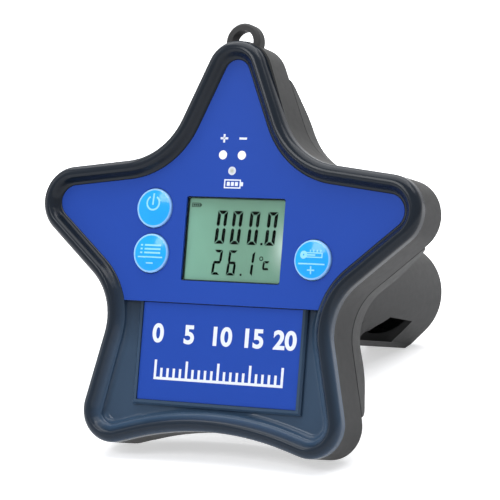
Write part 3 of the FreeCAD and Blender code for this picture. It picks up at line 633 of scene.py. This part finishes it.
def finishPiece(name, shape, material, body):
    bmesh.ops.remove_doubles(shape, verts=shape.verts, dist=inkLook["weld"])
    bmesh.ops.recalc_face_normals(shape, faces=shape.faces)
    mesh = bpy.data.meshes.new(name)
    shape.to_mesh(mesh)
    shape.free()
    mesh.transform(faceToObject)
    piece = bpy.data.objects.new(name, mesh)
    bpy.context.scene.collection.objects.link(piece)
    mesh.materials.append(material)
    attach(piece, body)
    return piece


def thicken(shape, faces):
    made = bmesh.ops.extrude_face_region(shape, geom=faces)
    moved = [item for item in made["geom"] if isinstance(item, bmesh.types.BMVert)]
    bmesh.ops.translate(shape, verts=moved, vec=(0, inkLook["thickness"], 0))


def addPlate(shape, corners, depth):
    # A flat shape with the given outline, raised towards the viewer by the ink's thickness
    front = [shape.verts.new((x, depth - inkLook["thickness"], up)) for x, up in corners]
    thicken(shape, [shape.faces.new(front)])


def addBar(shape, x, up, width, height, depth):
    corners = ((x - width / 2, up - height / 2), (x + width / 2, up - height / 2),
               (x + width / 2, up + height / 2), (x - width / 2, up + height / 2))
    addPlate(shape, corners, depth)


def addArc(shape, x, up, radius, stroke, depth, startAngle=0, endAngle=360, steps=24):
    # A curved band, split into quads that share their ends
    full = endAngle - startAngle >= 360
    front = depth - inkLook["thickness"]
    rows = []
    for step in range(steps if full else steps + 1):
        angle = math.radians(startAngle + (endAngle - startAngle) * step / steps)
        rows.append([shape.verts.new((x + math.cos(angle) * reach, front, up + math.sin(angle) * reach))
                     for reach in (radius - stroke / 2, radius + stroke / 2)])
    pairs = list(zip(rows, rows[1:]))
    if full:
        pairs.append((rows[-1], rows[0]))
    thicken(shape, [shape.faces.new((one[0], two[0], two[1], one[1])) for one, two in pairs])


def addBattery(shape, values, depth):
    # A battery sign: a frame of four bars, a tip and the charge bars inside
    x = values["x"]
    up = values["up"]
    width = values["width"]
    height = values["height"]
    line = values["line"]
    for side in (-1, 1):
        addBar(shape, x, up + side * (height - line) / 2, width, line, depth)
        addBar(shape, x + side * (width - line) / 2, up, line, height - 2 * line - inkLook["gap"], depth)
    addBar(shape, x + width / 2 + line, up, 2 * line, values["tip"], depth)
    room = width - 4 * line
    for step in range(values["bars"]):
        middle = x - room / 2 + room * (step + 0.5) / values["bars"]
        addBar(shape, middle, up, room / values["bars"] - line, height - 4 * line, depth)


# Digits and signs of the display, in mm in the face's frame.
# Segments a to f run clockwise from the top, and g lies across the middle.

segmentsOf = {
    "0": "abcdef", "1": "bc", "2": "abged", "3": "abgcd", "4": "fgbc", "5": "afgcd", "6": "afgedc",
    "7": "abc", "8": "abcdefg", "9": "abcdfg",
}
mainReading = {"digits": "0000", "lefts": (-4.9, 1.2, 8.0, 15.0), "width": 3.9, "height": 11.8,
               "stroke": 1.25, "gap": 0.22, "slant": 0.062, "bottom": -1.4, "dot": (13.85, -0.95),
               "dotSize": 0.85}
lowReading = {"digits": "261", "lefts": (-5.2, 0.7, 7.6), "width": 3.4, "height": 8.9,
              "stroke": 0.95, "gap": 0.16, "slant": 0.085, "bottom": -12.4, "dot": (6.6, -12.0),
              "dotSize": 0.75}
celsius = {
    "ring": (14.25, -6.05), "radius": 0.62, "stroke": 0.34,
    "arms": (((15.4, -6.8), (17.5, -6.8), (17.0, -7.6), (15.9, -7.6)),
             ((15.1, -7.0), (15.8, -7.6), (15.6, -9.2), (14.8, -9.7)),
             ((15.4, -9.2), (17.0, -9.2), (17.4, -10.0), (15.0, -10.0))),
}
cornerBattery = {"x": -13.2, "up": 12.1, "width": 3.4, "height": 1.5, "tip": 0.675, "line": 0.22, "bars": 3}


def segmentCorners(segment, values):
    width = values["width"]
    height = values["height"]
    stroke = values["stroke"]
    gap = values["gap"]
    half = stroke / 2
    middle = height / 2
    if segment in "adg":
        level = {"a": height - half, "d": half, "g": middle}[segment]
        outer = {"a": half, "d": -half, "g": 0}[segment]
        left = gap
        right = width - gap
        if segment == "g":
            return ((left + half, level - half), (right - half, level - half), (right, level),
                    (right - half, level + half), (left + half, level + half), (left, level))
        return ((left, level + outer), (left + stroke, level - outer), (right - stroke, level - outer),
                (right, level + outer))
    side = 0 if segment in "ef" else width
    inward = 1 if segment in "ef" else -1
    low, high = (gap, middle - gap) if segment in "ec" else (middle + gap, height - gap)
    if segment in "ec":
        return ((side, low), (side + inward * stroke, low + stroke), (side + inward * stroke, high - half),
                (side + inward * half, high), (side, high - half))
    return ((side, high), (side + inward * stroke, high - stroke), (side + inward * stroke, low + half),
            (side + inward * half, low), (side, low + half))


def addDigit(shape, digit, values, left, depth):
    for segment in segmentsOf[digit]:
        slanted = [(left + x + up * values["slant"], values["bottom"] + up)
                   for x, up in segmentCorners(segment, values)]
        addPlate(shape, slanted, depth)


def displayInk():
    depth = frontDepth("lcd_glass")
    shape = bmesh.new()
    for reading in (mainReading, lowReading):
        for digit, left in zip(reading["digits"], reading["lefts"]):
            addDigit(shape, digit, reading, left, depth)
    for reading in (mainReading, lowReading):
        addBar(shape, *reading["dot"], reading["dotSize"], reading["dotSize"], depth)
    addArc(shape, *celsius["ring"], celsius["radius"], celsius["stroke"], depth)
    for corners in celsius["arms"]:
        addPlate(shape, corners, depth)
    addBattery(shape, cornerBattery, depth)
    finishPiece("displayInk", shape, plastics["display_ink"], "meter")


displayInk()
print("display drawn")


# White signs on the panel: plus and minus over the contacts, a battery under the lamp

poleSigns = {"plusX": -3.1, "minusX": 4.4, "up": 35.8, "length": 3.0, "stroke": 0.75}
lampBattery = {"x": 1.5, "up": 19.7, "width": 6.6, "height": 3.2, "tip": 1.44, "line": 0.45, "bars": 3}


def panelInk():
    depth = 0.0
    length = poleSigns["length"]
    stroke = poleSigns["stroke"]
    shape = bmesh.new()
    addBar(shape, poleSigns["plusX"], poleSigns["up"], length, stroke, depth)
    addBar(shape, poleSigns["plusX"], poleSigns["up"], stroke, length, depth)
    addBar(shape, poleSigns["minusX"], poleSigns["up"], length, stroke, depth)
    addBattery(shape, lampBattery, depth)
    finishPiece("panelInk", shape, plastics["white_ink"], "meter")


panelInk()


# White scale on the plate: plain numbers over a ruled line, in mm

plateScale = {"numbers": ("0", "5", "10", "15", "20"), "middle": 1.2, "pitch": 12.6, "size": 9.0, "up": -34.4,
              "bold": 0.3, "rule": -50.0, "ticks": 5, "tall": 6.0, "short": 3.2, "line": 0.95}


def plateNumber(number, x, depth):
    # One number as a thin mesh that stands in the face's frame
    curve = bpy.data.curves.new("plateNumber", "FONT")
    curve.body = number
    curve.size = plateScale["size"]
    curve.align_x = "CENTER"
    curve.align_y = "CENTER"
    curve.extrude = inkLook["thickness"] / 2
    curve.offset = plateScale["bold"]
    holder = bpy.data.objects.new("plateNumber", curve)
    bpy.context.scene.collection.objects.link(holder)
    bpy.context.view_layer.update()
    mesh = bpy.data.meshes.new_from_object(holder)
    bpy.data.objects.remove(holder)
    bpy.data.curves.remove(curve)
    place = Matrix.Translation((x, depth - inkLook["thickness"] / 2, plateScale["up"]))
    mesh.transform(place @ Matrix.Rotation(math.pi / 2, 4, "X"))
    return mesh


def plateInk():
    depth = frontDepth("name_plate")
    line = plateScale["line"]
    spaces = len(plateScale["numbers"]) - 1
    length = plateScale["pitch"] * spaces
    left = plateScale["middle"] - length / 2
    shape = bmesh.new()
    for index, number in enumerate(plateScale["numbers"]):
        mesh = plateNumber(number, left + index * plateScale["pitch"], depth)
        shape.from_mesh(mesh)
        bpy.data.meshes.remove(mesh)
    addBar(shape, plateScale["middle"], plateScale["rule"], length + line, line, depth)
    ticks = spaces * plateScale["ticks"]
    for step in range(ticks + 1):
        height = plateScale["tall"] if step % plateScale["ticks"] == 0 else plateScale["short"]
        up = plateScale["rule"] + (height + line + inkLook["gap"]) / 2
        addBar(shape, left + length * step / ticks, up, line, height, depth)
    finishPiece("plateInk", shape, plastics["white_ink"], "meter")


plateInk()
print("panel and plate printed")


# Signs on the keys, in mm from the middle of each key's print

keySigns = {"line": 0.62, "signUp": 1.75, "divider": 10.0, "dividerUp": -1.45, "lowUp": -3.6, "lowSize": 2.75,
            "lowLine": 0.5, "longest": 1.6, "cuts": 7}
powerMark = {"x": -0.28, "radius": 2.5, "startAngle": 122, "endAngle": 418, "steps": 36, "barUp": 3.1,
             "bar": 4.2}
menuMark = {"rows": 3, "low": 0.1, "pitch": 1.35, "barX": 0.9, "bar": 6.4, "dotX": -3.6, "dot": 0.9}
warmthMark = {"up": 1.65, "bulbX": -3.1, "bulb": 0.85, "bulbStroke": 1.1, "stemX": 0.6, "stem": 6.2,
              "wall": 0.4, "wallUp": 0.75, "endX": 3.9, "end": 1.9, "columnX": -0.3, "column": 3.4,
              "columnLine": 0.5, "marks": 4, "markX": -0.6, "markPitch": 1.3, "markUp": 1.45,
              "mark": 0.8, "markLine": 0.35}


def powerSign(shape, x, up, depth):
    # An open ring and the bar in its gap
    look = powerMark
    addArc(shape, x + look["x"], up + keySigns["signUp"], look["radius"], keySigns["line"], depth,
           look["startAngle"], look["endAngle"], look["steps"])
    addBar(shape, x + look["x"], up + look["barUp"], keySigns["line"], look["bar"], depth)


def menuSign(shape, x, up, depth):
    # Three bars, each with a dot before it
    look = menuMark
    for row in range(look["rows"]):
        level = up + look["low"] + look["pitch"] * row
        addBar(shape, x + look["barX"], level, look["bar"], keySigns["line"], depth)
        addBar(shape, x + look["dotX"], level, look["dot"], keySigns["line"], depth)


def warmthSign(shape, x, up, depth):
    # A lying thermometer: a round bulb and a graduated stem
    look = warmthMark
    level = up + look["up"]
    addArc(shape, x + look["bulbX"], level, look["bulb"], look["bulbStroke"], depth)
    for side in (1, -1):
        addBar(shape, x + look["stemX"], level + side * look["wallUp"], look["stem"] - inkLook["gap"],
               look["wall"], depth)
    addBar(shape, x + look["endX"], level, look["wall"], look["end"], depth)
    addBar(shape, x + look["columnX"], level, look["column"], look["columnLine"], depth)
    for step in range(look["marks"]):
        addBar(shape, x + look["markX"] + look["markPitch"] * step, level + look["markUp"], look["markLine"],
               look["mark"], depth)


def dividerAndMinus(shape, x, up, depth):
    addBar(shape, x, up + keySigns["dividerUp"], keySigns["divider"], keySigns["lowLine"], depth)
    addBar(shape, x, up + keySigns["lowUp"], keySigns["lowSize"], keySigns["lowLine"], depth)


def drapeOver(piece, nodeName):
    # Splits the sign's long edges, so that it can follow the key's dome
    shape = bmesh.new()
    shape.from_mesh(piece.data)
    long = [edge for edge in shape.edges if edge.calc_length() > keySigns["longest"] * mm]
    bmesh.ops.subdivide_edges(shape, edges=long, cuts=keySigns["cuts"], use_grid_fill=True)
    domeOver(shape, nodeName)
    shape.to_mesh(piece.data)
    shape.free()


def keyInk(nodeName):
    x, up = keyPlaces[nodeName]
    depth = frontDepth(nodeName)
    shape = bmesh.new()
    if nodeName == "power_button":
        powerSign(shape, x, up, depth)
    else:
        dividerAndMinus(shape, x, up, depth)
    if nodeName == "mode_button":
        menuSign(shape, x, up, depth)
    if nodeName == "temp_button":
        warmthSign(shape, x, up, depth)
        addBar(shape, x, up + keySigns["lowUp"], keySigns["lowLine"], keySigns["lowSize"], depth)
    piece = finishPiece(nodeName.replace("_button", "Ink"), shape, plastics["key_ink"], nodeName)
    drapeOver(piece, nodeName)


for nodeName in keyPlaces:
    keyInk(nodeName)
print("keys marked")


# Floor and world

stageLook = {"floorSize": 6.0, "floorColour": (0.8, 0.8, 0.81), "floorRoughness": 0.9, "liftNear": 0.55,
             "liftFar": 1.0, "nearReach": 0.16, "farReach": 0.42, "room": (0.9, 0.94, 1.0),
             "roomStrength": 0.4}


def seenDirectly(tree):
    # 1 for what the camera sees, straight or in a mirror or through glass
    path = tree.nodes.new("ShaderNodeLightPath")
    seen = path.outputs["Is Camera Ray"]
    for ray in ("Is Glossy Ray", "Is Transmission Ray"):
        either = tree.nodes.new("ShaderNodeMath")
        either.operation = "MAXIMUM"
        tree.links.new(seen, either.inputs[0])
        tree.links.new(path.outputs[ray], either.inputs[1])
        seen = either.outputs["Value"]
    return seen


def floorPaper(look):
    # Paper that looks white away from the object and keeps its shadow close by
    material = makeMaterial("floorPaper", look["floorColour"], look["floorRoughness"], specular=0.0)
    away = addNode(material, "VectorMath")
    away.operation = "LENGTH"
    link(material, objectCoordinates(material), away.inputs[0])
    lift = spread(material, away.outputs["Value"], look["liftNear"], look["liftFar"], look["nearReach"],
                  look["farReach"])
    shaderOf(material).inputs["Emission Color"].default_value = (1, 1, 1, 1)
    seen = seenDirectly(material.node_tree)
    drive(material, "Emission Strength", calculate(material, "MULTIPLY", lift, seen))
    return material


def makeFloor(look):
    shape = bmesh.new()
    bmesh.ops.create_grid(shape, x_segments=1, y_segments=1, size=look["floorSize"] / 2)
    mesh = bpy.data.meshes.new("floor")
    shape.to_mesh(mesh)
    shape.free()
    floor = bpy.data.objects.new("floor", mesh)
    bpy.context.scene.collection.objects.link(floor)
    mesh.materials.append(floorPaper(look))


def makeWorld(look):
    # White where it is seen, and a softer light from the room
    world = bpy.data.worlds.new("studio")
    bpy.context.scene.world = world
    world.use_nodes = True
    tree = world.node_tree
    room = tree.nodes["Background"]
    room.inputs["Color"].default_value = (*look["room"], 1)
    room.inputs["Strength"].default_value = look["roomStrength"]
    plain = tree.nodes.new("ShaderNodeBackground")
    plain.inputs["Color"].default_value = (1, 1, 1, 1)
    mix = tree.nodes.new("ShaderNodeMixShader")
    tree.links.new(seenDirectly(tree), mix.inputs["Fac"])
    tree.links.new(room.outputs["Background"], mix.inputs[1])
    tree.links.new(plain.outputs["Background"], mix.inputs[2])
    tree.links.new(mix.outputs["Shader"], tree.nodes["World Output"].inputs["Surface"])


makeFloor(stageLook)
makeWorld(stageLook)


# Lamps, in metres and watts, all aimed at the object's middle

lamps = {
    "topLight": {"place": (-0.1, 0.2, 1.1), "size": (1.4, 1.2), "power": 19.0},
    "rightLight": {"place": (0.6, 0.2, 1.0), "size": (0.5, 0.5), "power": 2.5},
    "leftLight": {"place": (-1.0, -0.45, 0.55), "size": (0.25, 0.9), "power": 2.0},
    "keyGlare": {"place": (-0.28, -0.82, 0.76), "size": (0.32, 0.32), "power": 3.2},
}


def addLamp(name, values, target):
    lamp = bpy.data.lights.new(name, "AREA")
    lamp.shape = "RECTANGLE"
    lamp.size, lamp.size_y = values["size"]
    lamp.energy = values["power"]
    holder = bpy.data.objects.new(name, lamp)
    holder.location = values["place"]
    ahead = target - Vector(values["place"])
    holder.rotation_euler = ahead.to_track_quat("-Z", "Y").to_euler()
    bpy.context.scene.collection.objects.link(holder)


objectMiddle = (Vector(cadBox[0]) + Vector(cadBox[1])) / 2
for name, values in lamps.items():
    addLamp(name, values, objectMiddle)


# Camera: its place, target and right-hand side in the face's frame, and its lens in mm

cameraView = {"place": (390.8, -723.3, -61.0), "target": (10.5, 0.0, -3.3), "right": (0.885, 0.459, 0.0776),
              "lens": 169.2, "sensor": 36.0}


def makeCamera(view):
    place = facePoint(*view["place"])
    ahead = (facePoint(*view["target"]) - place).normalized()
    side = turned(*view["right"]).normalized()
    side = (side - ahead * side.dot(ahead)).normalized()
    upwards = side.cross(ahead)
    camera = bpy.data.objects.new("camera", bpy.data.cameras.new("camera"))
    camera.data.lens = view["lens"]
    camera.data.sensor_width = view["sensor"]
    camera.matrix_world = Matrix.Translation(place) @ Matrix((side, upwards, -ahead)).transposed().to_4x4()
    bpy.context.scene.collection.objects.link(camera)
    bpy.context.scene.camera = camera


makeCamera(cameraView)
bpy.context.scene.view_settings.view_transform = "Standard"
print("stage ready")
